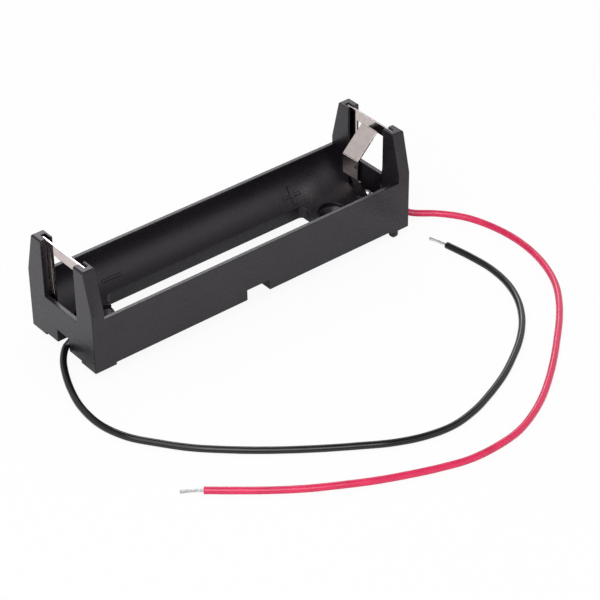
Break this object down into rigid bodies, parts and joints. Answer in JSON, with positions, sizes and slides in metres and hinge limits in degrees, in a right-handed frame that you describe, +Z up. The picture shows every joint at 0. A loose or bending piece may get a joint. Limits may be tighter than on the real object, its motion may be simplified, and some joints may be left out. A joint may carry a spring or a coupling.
{
  "type": "cylindrical cell holder",
  "caption": "Open moulded holder for a cylindrical cell, with slotted end posts, folded leaf contacts and soldered wire leads.",
  "frame": {"origin": "on the standing surface at the peg tips, midway between the end walls and between the side walls", "axes": "+X along the cell towards the positive end, +Z up out of the open trough, -Y towards the side where the leads lie"},
  "size_m": [0.1011, 0.0842, 0.0235],
  "materials": {
    "body_plastic": "fine matte moulding",
    "contact_strip": "satin nickel plate",
    "black_insulation": "smooth vinyl",
    "red_insulation": "smooth vinyl",
    "tinned_core": "tinned copper strands",
    "solder": "bright solder"
  },
  "bodies": {
    "root": {"holder_body": "body_plastic", "negative_contact": "contact_strip", "positive_contact": "contact_strip", "negative_lead": "black_insulation", "positive_lead": "red_insulation", "negative_core": "tinned_core", "positive_core": "tinned_core", "negative_solder": "solder", "positive_solder": "solder"}
  },
  "joints": []
}
